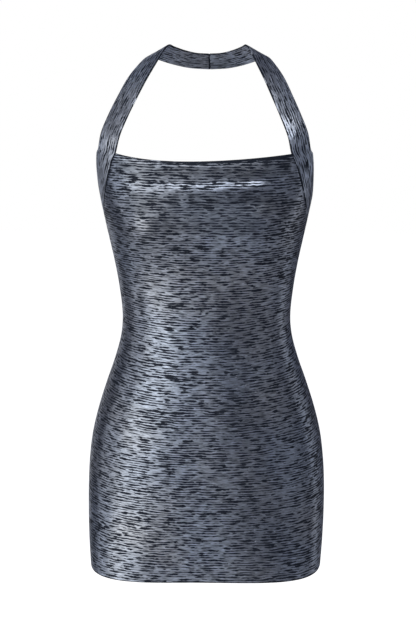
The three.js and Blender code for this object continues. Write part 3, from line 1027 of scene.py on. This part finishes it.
front_columns = np.concatenate(
    [
        edge_crowded(-SIDE, -CORNER, FRONT_SIDE_COLUMNS, COLUMN_FIRST_STEP)[:-1],
        edge_crowded(-CORNER, CORNER, FRONT_MIDDLE_COLUMNS, COLUMN_FIRST_STEP)[:-1],
        edge_crowded(CORNER, SIDE, FRONT_SIDE_COLUMNS, COLUMN_FIRST_STEP),
    ]
)
back_columns = edge_crowded(SIDE, 2 * CENTRE_BACK - SIDE, BACK_COLUMNS, COLUMN_FIRST_STEP)
front_panel = panel("front_panel_knit", front_columns, [front_foil, inside_knit])
back_panel = panel("back_panel_knit", back_columns, [back_foil, inside_knit])
band_left = halter_band("halter_band_left_knit", 1, [band_foil, band_foil])
band_right = halter_band("halter_band_right_knit", -1, [band_foil, band_foil])

for piece, node, slot in (
    (front_panel, "front_panel", "front_foil"),
    (back_panel, "back_panel", "back_foil"),
    (band_left, "halter_band_left", "band_foil"),
    (band_right, "halter_band_right", "band_foil"),
):
    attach(piece, "root")
    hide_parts(node)

thread = plain_knit("overlock_thread", THREAD_COLOUR)
tree = overlock_tree(inside_knit, thread)


def left_seam(z):
    """The share where the left turning lies, just behind the side seam."""
    quarter = quarter_of(np.full(np.shape(z), TURNING["just_behind"]), z)
    return SIDE + TURNING["behind"] / quarter


def right_seam(z):
    return 2 * CENTRE_BACK - left_seam(z)


for side, share in (("left", left_seam), ("right", right_seam)):
    path = seam_path(f"{side}_seam_path", share, TURNING["low"], TURNING["high"], TURNING["inside"])
    turning = overlocked(path, tree, f"{side}_seam_turning")
    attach(turning, "root")


# Studio

# Soft lights: name, azimuth, distance, height, size and power, the height each one faces, and
# its colour where it isn't white
SOFTBOXES = [
    ("key_left", -43, 2300, 400, (1.7, 2.8), 17.6, 400, (1.0, 0.975, 0.91)),
    ("wing_left", -82, 2300, 400, (1.2, 2.8), 4.5, 400),
    ("front", -10, 2300, 400, (0.9, 2.8), 2.6, 400),
    ("front_top", -18, 1600, 1850, (1.1, 0.7), 3.8, 450),
    ("strip_right", 62, 2300, 400, (1.6, 2.8), 1.2, 400),
    ("back_right", 112, 2300, 400, (1.0, 2.8), 2.4, 400),
    ("right_top", 38, 1500, 2100, (0.8, 0.6), 5.0, 450),
    ("top", 0, 900, 2300, (1.4, 1.2), 7.4, 450),
    ("back_left", -150, 2300, 500, (1.4, 2.6), 3.0, 400),
]
# What the foil mirrors where no light is, and the white that the camera sees behind the dress
ROOM_COLOUR = (0.071, 0.074, 0.095, 1)
BACKDROP_COLOUR = (1, 1, 1, 1)
FLOOR = {"reach": 9.0, "z": -840, "colour": (0.86, 0.86, 0.87, 1), "rough": 0.9}
CAMERA = {
    "azimuth": 3.0,
    "distance": 2000.0,
    "height": 750.0,
    "aim": (2.0, 0.0, 352.0),
    "focal_px": 1462.0,
    "picture_px": 624.0,
    "sensor_mm": 24.0,
    "clip_end": 60.0,
}


def in_frame(x, y, z):
    return Vector(((x - NAPE[0]) * MM, (y - NAPE[1]) * MM, (z - NAPE[2]) * MM))


def aim_at(obj, target):
    obj.rotation_euler = (target - obj.location).to_track_quat("-Z", "Y").to_euler()


def softbox(name, azimuth, distance, z, size, power, target_z, colour=(1, 1, 1)):
    """A rectangular soft light, placed round the dress from the front towards its left."""
    light = bpy.data.lights.new(name, "AREA")
    light.shape = "RECTANGLE"
    light.size, light.size_y = size
    light.energy = power
    light.color = colour
    obj = bpy.data.objects.new(name, light)
    bpy.context.scene.collection.objects.link(obj)
    turn = math.radians(azimuth)
    obj.location = in_frame(distance * math.sin(turn), -distance * math.cos(turn), z)
    aim_at(obj, in_frame(0, 0, target_z))


def room():
    """A dim room that the camera sees as a plain white backdrop."""
    world = bpy.data.worlds.new("studio")
    bpy.context.scene.world = world
    world.use_nodes = True
    n = Nodes(world.node_tree)
    seen = n.add("ShaderNodeLightPath").outputs["Is Camera Ray"]
    mix = n.add("ShaderNodeMix", {6: ROOM_COLOUR, 7: BACKDROP_COLOUR}, data_type="RGBA")
    n.link(seen, mix.inputs["Factor"])
    n.link(mix.outputs[2], world.node_tree.nodes["Background"].inputs[0])


def pale_floor():
    """A floor far below the hem, white to the camera too."""
    mesh = bpy.data.meshes.new("floor")
    reach, level = FLOOR["reach"], in_frame(0, 0, FLOOR["z"]).z
    corners = [(-reach, -reach), (reach, -reach), (reach, reach), (-reach, reach)]
    mesh.from_pydata([(x, y, level) for x, y in corners], [], [(0, 1, 2, 3)])
    floor = bpy.data.objects.new("floor", mesh)
    bpy.context.scene.collection.objects.link(floor)
    pale = bpy.data.materials.new("pale_floor")
    pale.use_nodes = True
    n = Nodes(pale.node_tree)
    shader = pale.node_tree.nodes["Principled BSDF"]
    shader.inputs["Base Color"].default_value = FLOOR["colour"]
    shader.inputs["Roughness"].default_value = FLOOR["rough"]
    shader.inputs["Emission Color"].default_value = BACKDROP_COLOUR
    glow = n.add("ShaderNodeLightPath").outputs["Is Camera Ray"]
    n.link(glow, shader.inputs["Emission Strength"])
    mesh.materials.append(pale)


def main_camera():
    """The camera, which sees the dress as the photograph does."""
    camera = bpy.data.cameras.new("camera")
    camera.sensor_fit = "VERTICAL"
    camera.sensor_height = CAMERA["sensor_mm"]
    camera.lens = CAMERA["sensor_mm"] * CAMERA["focal_px"] / CAMERA["picture_px"]
    camera.clip_end = CAMERA["clip_end"]
    obj = bpy.data.objects.new("camera", camera)
    bpy.context.scene.collection.objects.link(obj)
    turn = math.radians(CAMERA["azimuth"])
    reach = CAMERA["distance"]
    obj.location = in_frame(reach * math.sin(turn), -reach * math.cos(turn), CAMERA["height"])
    aim_at(obj, in_frame(*CAMERA["aim"]))
    bpy.context.scene.camera = obj


bpy.context.scene.view_settings.view_transform = "Standard"
room()
for light in SOFTBOXES:
    softbox(*light)
pale_floor()
main_camera()
